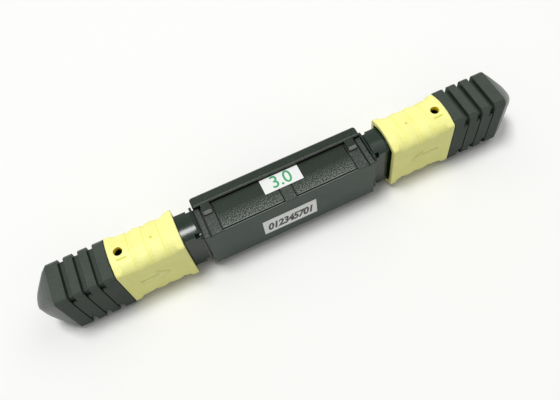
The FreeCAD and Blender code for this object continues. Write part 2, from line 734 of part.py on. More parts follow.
def dust_cap(side):
    body = new_body(f"{side}_dust_cap")
    skirt = ("cap_depth", "cap_half", "cap_corner", "cap_back_corner")
    stretch(body, "skirt", chamfered, skirt, "cap_start", "cap_end")
    # end that closes to a blunt tip, with corners that grow rounder as the rings get smaller
    flat_cut = [(0, -1), (-1 / 3, -2 / 3), (-2 / 3, -1 / 3), (-1, 0)]
    turns = [math.radians(turn) for turn in (0, 30, 60, 90)]
    round_cut = [(math.cos(turn) - 1, math.sin(turn) - 1) for turn in turns]
    sections = [new_sketch(body, "ring0", "YZ_Plane", "cap_end")]
    chamfered(sections[0], *skirt, flat_cut)
    for along, corner in ((0.2, 0.73), (0.4, 1.0), (0.58, 1.0), (0.74, 0.83), (0.87, 0.57), (0.96, 0.3)):
        ring = new_sketch(body, f"ring{len(sections)}", "YZ_Plane", f"cap_end + {along} * dome_length")
        width = (1 - along + math.sqrt(1 - along * along)) / 2
        size = (f"{width:.3f} * cap_depth", f"{width:.3f} * cap_half", f"{corner} * dome_corner")
        chamfered(ring, *size, None, round_cut)
        sections.append(ring)
    join_rings(body, sections)
    # grip grooves across the narrow sides, deeper at the corners, and the fine lines that join them
    grooves = new_sketch(body, "grooves", "XZ_Plane")
    groove_end = "groove_first + groove_width"
    rectangle(grooves, "groove_first", groove_end, "cap_half - groove_depth", "cap_half + seam")
    rectangle(grooves, "groove_first", groove_end, "-cap_half - seam", "groove_depth - cap_half")
    cut = carve(body, grooves, "3 * cap_depth", both_ways=True)
    repeat_along_x(body, cut, grooves, "groove_pitch", 3)
    ends = new_sketch(body, "groove_ends", "YZ_Plane", "groove_first")
    for across in ("-1", "1"):
        for up in ("-1", "1"):
            wall = (f"{across} * (cap_depth - groove_end_depth)", f"{across} * (cap_depth + seam)")
            reach = (f"{up} * groove_end_reach", f"{up} * (cap_half + seam)")
            rectangle(ends, *sorted(wall, key=number), *sorted(reach, key=number))
    cut = carve(body, ends, "groove_width")
    repeat_along_x(body, cut, grooves, "groove_pitch", 3)
    lines = new_sketch(body, "lines", "XY_Plane")
    line_start = f"{groove_end} - line_width"
    rectangle(lines, line_start, groove_end, "cap_depth - line_depth", "cap_depth + seam")
    rectangle(lines, line_start, groove_end, "-cap_depth - seam", "line_depth - cap_depth")
    cut = carve(body, lines, "3 * cap_half", both_ways=True)
    repeat_along_x(body, cut, lines, "groove_pitch", 3)
    # inside: a snug bore on the nose, a slot for the key and room for the ferrule and pins
    hollow(body, "bore", centred, ("cap_bore_depth", "cap_bore_half"), "cap_start", "cap_bore_end")
    hollow(body, "pocket", centred, ("cap_pocket_depth", "cap_pocket_half"), "cap_bore_end", "cap_pocket_end")
    slot_depth = ("cap_bore_depth - seam", "frame_depth + key_height + seam")
    slot_height = ("-key_half - seam", "key_half + seam")
    hollow(body, "key_slot", rectangle, slot_depth + slot_height, "cap_start", "key_end + 2 * seam")
    place(body, side)


def fibre_ribbon():
    body = new_body("fibre_ribbon")
    outline = ("ribbon_depth", "ribbon_half", "0.6 * ribbon_depth")
    stretch(body, "ribbon", chamfered, outline, "-ribbon_half_length", "ribbon_half_length")
    place(body)


def label(name, corner, length, width, height):
    box = doc.addObject("Part::Box", name)
    for size_name, size in (("Length", length), ("Width", width), ("Height", height)):
        box.setExpression(size_name, cell(size))
    for axis, place_on_axis in zip("xyz", corner):
        box.setExpression(f"Placement.Base.{axis}", cell(place_on_axis))
    pieces.append(box)


housing_base()
housing_cover()
label("value_label", ("-value_label_half", "-value_label_front", "axis_height + side_level"),
      "2 * value_label_half", "value_label_front + split_depth", "label_thickness")
label("serial_label",
      ("-serial_label_left", "-body_depth_half - label_thickness", "axis_height - serial_label_low"),
      "serial_label_left + serial_label_right", "label_thickness", "serial_label_low + serial_label_high")
fibre_ribbon()
for side in ("left", "right"):
    rear_body(side)
    plug_frame(side)
    ferrule(side)
    ferrule_boot(side)
    pin_clamp(side)
    coil(f"{side}_ferrule_spring", side, "spring_seat", "clamp_start",
         "main_coil_depth", "main_coil_half", "main_wire_radius", "main_turns", 5)
    for level, up in (("upper", 1), ("lower", -1)):
        coil(f"{side}_{level}_coupling_spring", side, "neck_end + fit", "ledge_start - fit",
             "coupling_coil_radius", "coupling_coil_radius", "coupling_wire_radius", "coupling_turns", 4,
             up * number("coupling_offset"))
    coupling_sleeve(side)
    dust_cap(side)
for level, up in (("upper", 1), ("lower", -1)):
    guide_pin(level, up)
doc.recompute()

for item in doc.Objects:
    if "Invalid" in item.State or "Error" in item.State:
        raise ValueError(f"{item.Label} failed to build: {item.State}")
for piece in pieces:
    shape = piece.Shape
    if shape.isNull() or not shape.isValid() or len(shape.Solids) != 1:
        raise ValueError(f"{piece.Label} is not one valid solid")

os.makedirs("parts", exist_ok=True)
for piece in pieces:
    piece.Shape.exportStep(os.path.join("parts", f"{piece.Label}.step"))
    print(f"{piece.Label}: {piece.Shape.Volume:.2f} mm3, {len(piece.Shape.Faces)} faces")
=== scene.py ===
import math

import bmesh
import bpy
from mathutils import Matrix, Vector


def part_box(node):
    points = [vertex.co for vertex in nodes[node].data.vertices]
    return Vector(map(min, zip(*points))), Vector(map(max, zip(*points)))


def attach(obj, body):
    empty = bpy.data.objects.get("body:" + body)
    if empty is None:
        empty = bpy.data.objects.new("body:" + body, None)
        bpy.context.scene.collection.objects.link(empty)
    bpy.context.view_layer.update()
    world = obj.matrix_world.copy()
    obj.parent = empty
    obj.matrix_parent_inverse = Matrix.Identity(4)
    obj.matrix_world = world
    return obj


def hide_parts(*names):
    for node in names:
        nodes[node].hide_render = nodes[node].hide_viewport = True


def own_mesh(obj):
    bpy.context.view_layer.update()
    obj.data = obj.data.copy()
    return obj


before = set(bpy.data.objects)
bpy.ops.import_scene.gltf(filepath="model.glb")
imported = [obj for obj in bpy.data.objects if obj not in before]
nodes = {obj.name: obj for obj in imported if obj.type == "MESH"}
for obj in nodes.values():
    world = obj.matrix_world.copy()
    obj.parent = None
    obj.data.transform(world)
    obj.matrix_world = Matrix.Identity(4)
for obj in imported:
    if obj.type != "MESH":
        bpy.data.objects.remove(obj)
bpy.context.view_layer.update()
axisHeight = 0.0062  # the plugs' common axis, above the floor
plugEnds = (("left", -1), ("right", 1))  # each end's name, and its direction along X


def addNode(tree, kind, **settings):
    node = tree.nodes.new(kind)
    for name, value in settings.items():
        setattr(node, name, value)
    return node


def feed(tree, value, socket):
    # joins another node's socket, or sets a plain number or colour
    if isinstance(value, bpy.types.NodeSocket):
        tree.links.new(value, socket)
    else:
        socket.default_value = value


def calculate(tree, operation, *values):
    node = addNode(tree, "ShaderNodeMath", operation=operation)
    for value, socket in zip(values, node.inputs):
        feed(tree, value, socket)
    return node.outputs[0]


def scaled(tree, value, factor):
    return calculate(tree, "MULTIPLY", value, factor)


def mapped(tree, value, start=0.0, end=1.0, low=0.0, high=1.0, blend="LINEAR"):
    # start and end become low and high, and nothing goes past them
    span = addNode(tree, "ShaderNodeMapRange", interpolation_type=blend)
    feed(tree, value, span.inputs["Value"])
    feed(tree, start, span.inputs["From Min"])
    feed(tree, end, span.inputs["From Max"])
    feed(tree, low, span.inputs["To Min"])
    feed(tree, high, span.inputs["To Max"])
    return span.outputs["Result"]


mixSockets = {"factor": 0, "first": 6, "second": 7, "result": 2}  # of a Mix node that mixes colours


def mixColour(tree, factor, first, second):
    mix = addNode(tree, "ShaderNodeMix", data_type="RGBA")
    feed(tree, factor, mix.inputs[mixSockets["factor"]])
    for place, colour in (("first", first), ("second", second)):
        if isinstance(colour, tuple):
            colour = colour + (1.0,)
        feed(tree, colour, mix.inputs[mixSockets[place]])
    return mix.outputs[mixSockets["result"]]


def coordinate(tree, kind):
    return addNode(tree, "ShaderNodeTexCoord").outputs[kind]


def parted(tree, vector):
    parts = addNode(tree, "ShaderNodeSeparateXYZ")
    feed(tree, vector, parts.inputs["Vector"])
    return parts.outputs


def noise(tree, place, scale, detail, roughness=0.5):
    pattern = addNode(tree, "ShaderNodeTexNoise")
    feed(tree, place, pattern.inputs["Vector"])
    feed(tree, scale, pattern.inputs["Scale"])
    feed(tree, detail, pattern.inputs["Detail"])
    feed(tree, roughness, pattern.inputs["Roughness"])
    return pattern.outputs["Fac"]


def newGroup(name, inputs, outputs):
    tree = bpy.data.node_groups.new(name, "ShaderNodeTree")
    for label, value in inputs.items():
        socket = tree.interface.new_socket(label, in_out="INPUT", socket_type="NodeSocketFloat")
        socket.default_value = value
    for label, kind in outputs.items():
        tree.interface.new_socket(label, in_out="OUTPUT", socket_type=kind)
    return tree, addNode(tree, "NodeGroupInput").outputs, addNode(tree, "NodeGroupOutput").inputs


def useGroup(tree, group, **values):
    node = addNode(tree, "ShaderNodeGroup", node_tree=group)
    for label, value in values.items():
        node.inputs[label].default_value = value
    return node.outputs


edgeLook = {
    "inputs": {"Radius": 0.0001, "Wear": 0.0001, "Reach": 0.0003, "Open": 0.94, "Shut": 0.35},
    "samples": 4, "worn": (0.95, 0.72),
    "runSamples": 6, "runReach": 3.0, "runsAlong": (0.06, 0.01)}  # to tell which way an edge runs


def makeEdgeGroup(look):
    # softened normals, and masks of the outer edges, of those that run along X and of the inner corners
    tree, given, result = newGroup(
        "softEdge", look["inputs"],
        {"Normal": "NodeSocketVector", "Edge": "NodeSocketFloat", "Lengthwise": "NodeSocketFloat",
         "Seam": "NodeSocketFloat"})
    bevel = addNode(tree, "ShaderNodeBevel", samples=look["samples"])
    feed(tree, given["Radius"], bevel.inputs["Radius"])
    feed(tree, bevel.outputs["Normal"], result["Normal"])
    wide = addNode(tree, "ShaderNodeBevel", samples=look["runSamples"])
    feed(tree, scaled(tree, given["Wear"], look["runReach"]), wide.inputs["Radius"])
    turned = addNode(
        tree, "ShaderNodeVectorTransform", vector_type="NORMAL", convert_from="WORLD", convert_to="OBJECT")
    feed(tree, wide.outputs["Normal"], turned.inputs["Vector"])
    across = calculate(tree, "ABSOLUTE", parted(tree, turned.outputs["Vector"])["X"])
    feed(tree, mapped(tree, across, *look["runsAlong"]), result["Lengthwise"])
    # the Seam mask is occlusion in inner corners, used for painted shade
    masks = (("Edge", "Wear", True, look["worn"]), ("Seam", "Reach", False, (given["Open"], given["Shut"])))
    for mask, reach, inside, span in masks:
        shade = addNode(tree, "ShaderNodeAmbientOcclusion", samples=look["samples"], inside=inside)
        feed(tree, given[reach], shade.inputs["Distance"])
        feed(tree, mapped(tree, shade.outputs["AO"], *span), result[mask])
    return tree


grainLook = {
    "inputs": {"Scale": 5000.0}, "detail": 3.0, "roughness": 0.62, "specks": (0.46, 0.72),
    "cloudScale": 320.0, "cloudDetail": 2.0, "clouds": (0.35, 0.68)}


def makeGrainGroup(look):
    tree, given, result = newGroup(
        "mouldGrain", look["inputs"],
        {"Height": "NodeSocketFloat", "Speckle": "NodeSocketFloat", "Cloud": "NodeSocketFloat"})
    place = coordinate(tree, "Object")
    fine = noise(tree, place, given["Scale"], look["detail"], look["roughness"])
    cloud = noise(tree, place, look["cloudScale"], look["cloudDetail"])
    feed(tree, fine, result["Height"])
    feed(tree, mapped(tree, fine, *look["specks"]), result["Speckle"])
    feed(tree, mapped(tree, cloud, *look["clouds"]), result["Cloud"])
    return tree


edgeGroup = makeEdgeGroup(edgeLook)
grainGroup = makeGrainGroup(grainLook)


def narrowSides(tree):
    # 1 on the surfaces that face up or down
    return calculate(tree, "ABSOLUTE", parted(tree, coordinate(tree, "Normal"))["Z"])


frontNormals = {"wall": -1.0, "chamfer": -math.sqrt(0.5), "tolerance": 0.1}  # Y of each normal


def facingFront(tree):
    # a mask of the walls that face the front, and one of the chamfers above and below them
    turn = parted(tree, coordinate(tree, "Normal"))["Y"]
    walls = calculate(tree, "COMPARE", turn, frontNormals["wall"], frontNormals["tolerance"])
    chamfers = calculate(tree, "COMPARE", turn, frontNormals["chamfer"], frontNormals["tolerance"])
    return walls, scaled(tree, chamfers, narrowSides(tree))


def paintedHighlightBand(tree, band):
    # 1 along the front, fading to a low share towards the back; it places the painted glints and the painted
    # chamfer highlight
    across = parted(tree, coordinate(tree, "Object"))["Y"]
    return mapped(tree, across, band["back"], band["front"], band["low"])


def fromMiddle(tree):
    # the distance along X from the middle of the part, the same at both ends
    return calculate(tree, "ABSOLUTE", parted(tree, coordinate(tree, "Object"))["X"])


def domedEnd(tree, dome):
    # 1 on the dome that closes a cap's outer end
    return mapped(tree, fromMiddle(tree), dome["start"], dome["full"])


def ribLines(tree, ribs):
    # 1 on thin lines across the narrow sides, one at the foot of each grip rib, where painted crease shade
    # goes
    distance = fromMiddle(tree)
    lines = 0.0
    for rib in range(ribs["count"]):
        line = calculate(
            tree, "COMPARE", distance, ribs["first"] + rib * ribs["pitch"], ribs["width"] / 2)
        lines = calculate(tree, "MAXIMUM", lines, line)
    return scaled(tree, lines, narrowSides(tree))


def sightHole(tree, colour, hole):
    # golden under the rim and painted shade further down, on the wall of the round hole in the upper narrow
    # side
    parts = parted(tree, coordinate(tree, "Object"))
    flat = addNode(tree, "ShaderNodeCombineXYZ")
    feed(tree, fromMiddle(tree), flat.inputs["X"])
    feed(tree, parts["Y"], flat.inputs["Y"])
    reach = addNode(tree, "ShaderNodeVectorMath", operation="DISTANCE")
    feed(tree, flat.outputs["Vector"], reach.inputs[0])
    feed(tree, (hole["at"], 0.0, 0.0), reach.inputs[1])
    inside = calculate(tree, "LESS_THAN", reach.outputs["Value"], hole["radius"])
    upper = calculate(tree, "GREATER_THAN", parts["Z"], axisHeight)
    depth = mapped(tree, parts["Z"], hole["dark"], hole["lit"])
    wall = mixColour(tree, depth, hole["deepShadeColour"], hole["wallColour"])
    return mixColour(tree, scaled(tree, inside, upper), colour, wall)


def newMaterial(name):
    material = bpy.data.materials.new(name)
    material.use_nodes = True
    tree = material.node_tree
    return material, tree, tree.nodes["Principled BSDF"].inputs


def bumped(tree, height, look):
    bump = addNode(tree, "ShaderNodeBump")
    feed(tree, look["bump"], bump.inputs["Strength"])
    feed(tree, look["bumpDepth"], bump.inputs["Distance"])
    feed(tree, height, bump.inputs["Height"])
    return bump


def mouldedPlastic(look):
    material, tree, surface = newMaterial(look["name"])
    grain = useGroup(tree, grainGroup, Scale=look["grainScale"])
    edge = useGroup(
        tree, edgeGroup, Radius=look["edgeRadius"], Wear=look.get("wearReach", look["edgeRadius"]),
        **look.get("seam", {}))
    colour = mixColour(tree, grain["Cloud"], look["dark"], look["light"])
    specksAndGlints = scaled(tree, grain["Speckle"], look["speckle"])
    # painted glints: light specks on the faces that look up or down, strongest along the front
    if "paintedHighlightBand" in look:
        narrow = narrowSides(tree)
        colour = mixColour(tree, narrow, colour, look["sideColour"])
        specksAndGlints = scaled(tree, scaled(tree, specksAndGlints, narrow), paintedHighlightBand(tree, look["paintedHighlightBand"]))
    colour = mixColour(tree, specksAndGlints, colour, look["speckAndGlintColour"])
    # painted shade on the walls that face the front, and a painted highlight on the chamfers above them
    if "frontWallShadeColour" in look:
        walls, chamfers = facingFront(tree)
        chamfers = scaled(tree, chamfers, paintedHighlightBand(tree, look["chamferHighlightBand"]))
        colour = mixColour(tree, walls, colour, look["frontWallShadeColour"])
        colour = mixColour(tree, chamfers, colour, look["chamferHighlightColour"])
    # painted shade: darker yellow lines at the foot of each grip rib
    if "ribs" in look:
        lines = scaled(tree, ribLines(tree, look["ribs"]), look["ribs"]["share"])
        colour = mixColour(tree, lines, colour, look["ribs"]["colour"])
    # the dome is a little lighter, a painted sheen, and has a real gloss coat
    if "dome" in look:
        domed = domedEnd(tree, look["dome"])
        colour = mixColour(tree, domed, colour, look["dome"]["colour"])
        feed(tree, scaled(tree, domed, look["dome"]["gloss"]), surface["Coat Weight"])
        surface["Coat Roughness"].default_value = look["dome"]["rough"]
    # edges: on the housing, those along X are lighter, partly wear and partly a painted highlight, and those
    # across X are near-black, painted shade; on the other parts the edge colours are wear
    if "edgeWearAndHighlightShare" in look:
        edgeWearAndHighlightColour = look["edgeWearAndHighlightColour"]
        if "endWearAndShadeColour" in look:
            edgeWearAndHighlightColour = mixColour(tree, edge["Lengthwise"], look["endWearAndShadeColour"], edgeWearAndHighlightColour)
        colour = mixColour(tree, scaled(tree, edge["Edge"], look["edgeWearAndHighlightShare"]), colour, edgeWearAndHighlightColour)
    # painted shade: darker in inner corners, seams and holes, where occlusion finds them
    if "creviceShade" in look:
        colour = mixColour(tree, scaled(tree, edge["Seam"], look["creviceShade"]), colour, look["creviceShadeColour"])
    # painted shade deep in the sight hole
    if "hole" in look:
        colour = sightHole(tree, colour, look["hole"])
    feed(tree, colour, surface["Base Color"])
    smooth, rough = look["rough"]
    feed(tree, mapped(tree, grain["Height"], low=smooth, high=rough), surface["Roughness"])
    surface["Specular IOR Level"].default_value = look["specular"]
    if "polish" in look:
        feed(tree, scaled(tree, edge["Edge"], edge["Lengthwise"]), surface["Coat Weight"])
        surface["Coat Roughness"].default_value = look["polish"]
    bump = bumped(tree, grain["Height"], look)
    feed(tree, edge["Normal"], bump.inputs["Normal"])
    feed(tree, bump.outputs["Normal"], surface["Normal"])
    return material


# on both housing looks, the light specks near the front are painted glints
baseLook = {
    "name": "charcoalBase", "grainScale": 3600.0, "edgeRadius": 0.00022, "wearReach": 0.00014, "polish": 0.2,
    "dark": (0.036, 0.055, 0.042), "light": (0.043, 0.063, 0.050),
    "speckAndGlintColour": (0.16, 0.18, 0.155), "speckle": 0.6,
    "sideColour": (0.011, 0.017, 0.013), "paintedHighlightBand": {"back": 0.0040, "front": -0.0030, "low": 0.25},
    "creviceShade": 0.9, "creviceShadeColour": (0.002, 0.003, 0.002),
    # lighter edges along X: partly wear, partly painted highlight; near-black end edges: painted shade
    "edgeWearAndHighlightShare": 0.75, "edgeWearAndHighlightColour": (0.12, 0.14, 0.12), "endWearAndShadeColour": (0.004, 0.006, 0.005),
    "rough": (0.36, 0.56), "bump": 0.15, "bumpDepth": 0.00002, "specular": 0.35}
coverLook = {
    "name": "charcoalCover", "grainScale": 5200.0, "edgeRadius": 0.00026, "wearReach": 0.00015, "polish": 0.2,
    "dark": (0.017, 0.025, 0.019), "light": (0.023, 0.032, 0.025),
    "speckAndGlintColour": (0.42, 0.44, 0.41), "speckle": 0.9,
    "sideColour": (0.008, 0.017, 0.009), "paintedHighlightBand": {"back": -0.0004, "front": -0.0029, "low": 0.06},
    # near-black front walls: painted shade; light chamfers: painted highlight
    "frontWallShadeColour": (0.001, 0.001, 0.001),
    "chamferHighlightColour": (0.24, 0.245, 0.23), "chamferHighlightBand": {"back": 0.0012, "front": 0.0006, "low": 0.15},
    "creviceShade": 0.9, "creviceShadeColour": (0.002, 0.003, 0.002),
    # lighter edges along X: partly wear, partly painted highlight; near-black end edges: painted shade
    "edgeWearAndHighlightShare": 0.9, "edgeWearAndHighlightColour": (0.24, 0.26, 0.24), "endWearAndShadeColour": (0.004, 0.006, 0.005),
    "rough": (0.30, 0.48), "bump": 0.4, "bumpDepth": 0.00003, "specular": 0.20}
capLook = {
    "name": "charcoalCap", "grainScale": 3000.0, "edgeRadius": 0.00014,
    "dark": (0.053, 0.066, 0.055), "light": (0.060, 0.074, 0.062),
    "speckAndGlintColour": (0.10, 0.11, 0.10), "speckle": 0.3,
    # a little lighter dome colour: painted sheen; the gloss coat is real
    "dome": {"start": 0.0400, "full": 0.0402, "colour": (0.066, 0.076, 0.066), "gloss": 0.5, "rough": 0.3},
    "seam": {"Reach": 0.0005, "Open": 0.90, "Shut": 0.45}, "creviceShade": 0.85, "creviceShadeColour": (0.006, 0.007, 0.006),
    "edgeWearAndHighlightShare": 0.12, "edgeWearAndHighlightColour": (0.12, 0.13, 0.12), "endWearAndShadeColour": (0.10, 0.11, 0.10),
    "rough": (0.34, 0.48), "bump": 0.12, "bumpDepth": 0.00002, "specular": 0.05}
blackLook = {
    "name": "blackGloss", "grainScale": 2200.0, "edgeRadius": 0.00010,
    "dark": (0.003, 0.014, 0.007), "light": (0.007, 0.020, 0.011),
    "speckAndGlintColour": (0.02, 0.028, 0.022), "speckle": 0.2,
    "creviceShade": 0.8, "creviceShadeColour": (0.002, 0.002, 0.002),
    "edgeWearAndHighlightShare": 0.2, "edgeWearAndHighlightColour": (0.05, 0.055, 0.05), "endWearAndShadeColour": (0.03, 0.033, 0.03),
    "rough": (0.12, 0.24), "bump": 0.05, "bumpDepth": 0.00002, "specular": 0.33}
yellowLook = {
    "name": "yellowSleeve", "grainScale": 1800.0, "edgeRadius": 0.00030,
    "dark": (0.88, 0.86, 0.28), "light": (0.93, 0.92, 0.34),
    "speckAndGlintColour": (0.95, 0.95, 0.43), "speckle": 0.35,
    # a wide reach, so that the painted crevice shade also darkens the sight holes
    "seam": {"Reach": 0.0016, "Open": 0.30, "Shut": 0.18}, "creviceShade": 1.0, "creviceShadeColour": (0.03, 0.02, 0.002),
    "ribs": {"first": 0.0215, "pitch": 0.0026, "count": 3, "width": 0.00017, "share": 0.6,
             "colour": (0.84, 0.81, 0.10)},
    # sight-hole wall: painted shade further down
    "hole": {"at": 0.0284, "radius": 0.00074, "dark": 0.0114, "lit": 0.0117,
             "deepShadeColour": (0.004, 0.003, 0.001), "wallColour": (1.0, 0.80, 0.02)},
    "edgeWearAndHighlightShare": 0.2, "edgeWearAndHighlightColour": (0.95, 0.95, 0.46),
    "rough": (0.32, 0.48), "bump": 0.06, "bumpDepth": 0.00002, "specular": 0.20}
markLook = {
    "name": "yellowMark", "grainScale": 5000.0, "edgeRadius": 0.00003,
    "dark": (0.68, 0.66, 0.07), "light": (0.75, 0.73, 0.10),
    "speckAndGlintColour": (0.82, 0.80, 0.16), "speckle": 0.3,
    "rough": (0.5, 0.7), "bump": 0.1, "bumpDepth": 0.00001, "specular": 0.2}
fibreLook = {
    "name": "fibreGlass", "grainScale": 20000.0, "edgeRadius": 0.00001,
    "dark": (0.55, 0.62, 0.66), "light": (0.66, 0.72, 0.75),
    "speckAndGlintColour": (0.8, 0.84, 0.86), "speckle": 0.2,
    "creviceShade": 0.1, "creviceShadeColour": (0.3, 0.33, 0.35), "edgeWearAndHighlightShare": 0.1, "edgeWearAndHighlightColour": (0.8, 0.84, 0.86),
    "rough": (0.06, 0.16), "bump": 0.02, "bumpDepth": 0.00001, "specular": 0.6}
ferruleLook = {
    "name": "ferrulePolymer", "grainScale": 9000.0, "edgeRadius": 0.00005,
    "dark": (0.020, 0.020, 0.022), "light": (0.035, 0.035, 0.037),
    "speckAndGlintColour": (0.12, 0.12, 0.12), "speckle": 0.3,
    "creviceShade": 0.4, "creviceShadeColour": (0.006, 0.006, 0.006), "edgeWearAndHighlightShare": 0.2, "edgeWearAndHighlightColour": (0.10, 0.10, 0.10),
    "rough": (0.25, 0.45), "bump": 0.08, "bumpDepth": 0.00001, "specular": 0.5}
rubberLook = {
    "name": "bootRubber", "grainScale": 6000.0, "edgeRadius": 0.00008,
    "dark": (0.012, 0.012, 0.012), "light": (0.02, 0.02, 0.02),
    "speckAndGlintColour": (0.04, 0.04, 0.04), "speckle": 0.3,
    "creviceShade": 0.4, "creviceShadeColour": (0.004, 0.004, 0.004), "edgeWearAndHighlightShare": 0.05, "edgeWearAndHighlightColour": (0.05, 0.05, 0.05),
    "rough": (0.7, 0.9), "bump": 0.2, "bumpDepth": 0.00002, "specular": 0.3}
clampLook = {
    "name": "clampPolymer", "grainScale": 4000.0, "edgeRadius": 0.00006,
    "dark": (0.50, 0.49, 0.44), "light": (0.60, 0.59, 0.54),
    "speckAndGlintColour": (0.68, 0.67, 0.62), "speckle": 0.3,
    "creviceShade": 0.3, "creviceShadeColour": (0.25, 0.24, 0.21), "edgeWearAndHighlightShare": 0.1, "edgeWearAndHighlightColour": (0.70, 0.69, 0.66),
    "rough": (0.4, 0.55), "bump": 0.08, "bumpDepth": 0.00002, "specular": 0.5}
ribbonLook = {
    "name": "fibreRibbon", "grainScale": 7000.0, "edgeRadius": 0.00004,
    "dark": (0.09, 0.30, 0.36), "light": (0.12, 0.38, 0.44),
    "speckAndGlintColour": (0.2, 0.5, 0.55), "speckle": 0.2,
    "creviceShade": 0.3, "creviceShadeColour": (0.04, 0.14, 0.17), "edgeWearAndHighlightShare": 0.1, "edgeWearAndHighlightColour": (0.25, 0.55, 0.6),
    "rough": (0.2, 0.35), "bump": 0.05, "bumpDepth": 0.00001, "specular": 0.5}


def drawnSteel(look):
    material, tree, surface = newMaterial(look["name"])
    surface["Metallic"].default_value = 1.0
    stretched = addNode(tree, "ShaderNodeMapping")
    feed(tree, coordinate(tree, "Object"), stretched.inputs["Vector"])
    feed(tree, look["stretch"], stretched.inputs["Scale"])
    lines = noise(tree, stretched.outputs["Vector"], 1.0, look["detail"])  # the stretch is the scale
    feed(tree, mixColour(tree, lines, look["dark"], look["light"]), surface["Base Color"])
    smooth, rough = look["rough"]
    feed(tree, mapped(tree, lines, low=smooth, high=rough), surface["Roughness"])
    return material


springLook = {
    "name": "springSteel", "stretch": (2500.0, 2500.0, 2500.0), "detail": 3.0,
    "dark": (0.42, 0.42, 0.43), "light": (0.62, 0.62, 0.63), "rough": (0.22, 0.40)}
pinLook = {
    "name": "pinSteel", "stretch": (12000.0, 900.0, 900.0), "detail": 3.0,
    "dark": (0.62, 0.62, 0.63), "light": (0.78, 0.78, 0.79), "rough": (0.08, 0.2)}

paperBase = {"detail": 4.0, "edgeRadius": 0.00006, "edgeWearAndHighlightShare": 0.4, "bump": 0.1, "bumpDepth": 0.00001}


def printedPaper(look):
    material, tree, surface = newMaterial(look["name"])
    fibres = noise(tree, coordinate(tree, "Object"), look["fibreScale"], look["detail"])
    edge = useGroup(tree, edgeGroup, Radius=look["edgeRadius"])
    colour = mixColour(tree, fibres, look["dark"], look["light"])
    colour = mixColour(tree, scaled(tree, edge["Edge"], look["edgeWearAndHighlightShare"]), colour, look["edgeWearAndHighlightColour"])
    feed(tree, colour, surface["Base Color"])
    feed(tree, bumped(tree, fibres, look).outputs["Normal"], surface["Normal"])
    surface["Roughness"].default_value = look["rough"]
    return material


whiteLook = {
    "name": "whitePaper", "fibreScale": 2600.0, "dark": (0.80, 0.81, 0.79), "light": (0.88, 0.89, 0.87),
    "edgeWearAndHighlightColour": (0.7, 0.71, 0.69), "rough": 0.6}
greyLook = {
    "name": "greyPaper", "fibreScale": 2600.0, "dark": (0.84, 0.85, 0.82), "light": (0.92, 0.93, 0.90),
    "edgeWearAndHighlightColour": (0.92, 0.93, 0.90), "rough": 0.5}
greenInkLook = {
    "name": "greenInk", "fibreScale": 5000.0, "dark": (0.004, 0.23, 0.06), "light": (0.012, 0.30, 0.085),
    "edgeWearAndHighlightColour": (0.05, 0.4, 0.16), "rough": 0.5}
blackInkLook = {
    "name": "blackInk", "fibreScale": 5000.0, "dark": (0.012, 0.012, 0.012), "light": (0.03, 0.03, 0.03),
    "edgeWearAndHighlightColour": (0.08, 0.08, 0.08), "rough": 0.5}

finishes = {}
plasticLooks = (
    baseLook, coverLook, capLook, blackLook, yellowLook, markLook, fibreLook, ferruleLook, rubberLook,
    clampLook, ribbonLook)
for look in plasticLooks:
    finishes[look["name"]] = mouldedPlastic(look)
for look in (springLook, pinLook):
    finishes[look["name"]] = drawnSteel(look)
for look in (whiteLook, greyLook, greenInkLook, blackInkLook):
    finishes[look["name"]] = printedPaper({**paperBase, **look})

nodeFinishes = {
    "housing_base": "charcoalBase", "housing_cover": "charcoalCover", "dust_cap": "charcoalCap",
    "rear_body": "blackGloss", "plug_frame": "blackGloss", "coupling_sleeve": "yellowSleeve",
    "ferrule_boot": "bootRubber", "pin_clamp": "clampPolymer", "spring": "springSteel",
    "guide_pin": "pinSteel", "ferrule": "ferrulePolymer", "fibre_ribbon": "fibreRibbon",
    "value_label": "whitePaper", "serial_label": "greyPaper"}
for name, piece in nodes.items():
    ending = max((key for key in nodeFinishes if name.endswith(key)), key=len)
    piece.data.materials.clear()
    piece.data.materials.append(finishes[nodeFinishes[ending]])
print("materials on the CAD nodes")


def selectOnly(piece):
    bpy.ops.object.select_all(action="DESELECT")
    piece.select_set(True)
    bpy.context.view_layer.objects.active = piece


def dress(piece, look):
    piece.name = look["name"]
    piece.data.materials.clear()
    piece.data.materials.append(finishes[look["finish"]])
    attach(piece, look["body"])


def printedText(look):
    # thin raised ink, its doubled points merged so that the mesh is closed
    bpy.ops.object.select_all(action="DESELECT")
    bpy.ops.object.text_add(location=(0.0, 0.0, 0.0))
    text = bpy.context.object
    text.data.body = look["text"]
    text.data.size = look["size"]
    text.data.shear = look["slant"]
    text.data.space_character = look["spacing"]
    text.data.align_x = "CENTER"
    text.data.align_y = "CENTER"
    text.data.offset = look["weight"]
    text.data.extrude = look["thickness"] / 2
    text.scale = (look["narrow"], 1.0, 1.0)
    text.rotation_euler = look["turn"]
    text.location = look["at"]
    selectOnly(text)
    bpy.ops.object.convert(target="MESH")
    piece = bpy.context.object
    bpy.ops.object.transform_apply(location=True, rotation=True, scale=True)
    bpy.ops.object.mode_set(mode="EDIT")
    bpy.ops.mesh.select_all(action="SELECT")
    bpy.ops.mesh.remove_doubles(threshold=look["merge"])
    bpy.ops.object.mode_set(mode="OBJECT")
    dress(piece, look)


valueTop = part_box("value_label")[1][2]
valuePrint = {
    "name": "valuePrint", "text": "3.0", "size": 0.0033, "narrow": 0.95, "slant": 0.0, "spacing": 1.0,
    "weight": 0.00003, "thickness": 0.000012, "merge": 0.000005, "turn": (0.0, 0.0, 0.0),
    "at": (0.0, 0.0005, valueTop), "finish": "greenInk", "body": "housing"}
printedText(valuePrint)

